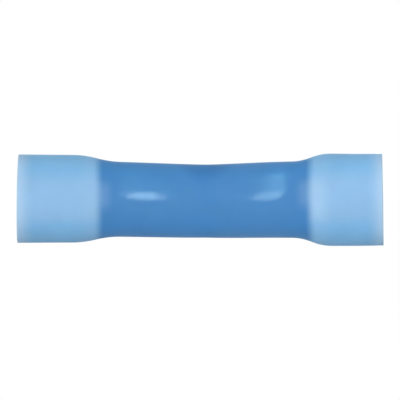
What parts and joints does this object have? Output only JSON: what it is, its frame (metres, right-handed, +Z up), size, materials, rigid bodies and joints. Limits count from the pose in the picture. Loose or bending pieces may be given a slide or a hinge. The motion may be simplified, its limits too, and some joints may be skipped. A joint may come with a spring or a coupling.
{
  "type": "butt splice connector",
  "caption": "Insulated butt splice: a tinned crimp barrel with a pressed centre stop, held in a translucent sleeve that flares into a bell mouth at either end.",
  "frame": {"origin": "centre of the lower, wider mouth, on its cut face", "axes": "+Z up along the lower half's axis; the upper half leans towards +X, the side that the stop is pressed from"},
  "size_m": [0.0067, 0.0066, 0.0261],
  "materials": {
    "blue_nylon": "translucent, satin",
    "tinned_copper": "tin plated, satin"
  },
  "bodies": {
    "root": {"insulating_sleeve": "blue_nylon", "crimp_barrel": "tinned_copper"}
  },
  "joints": []
}
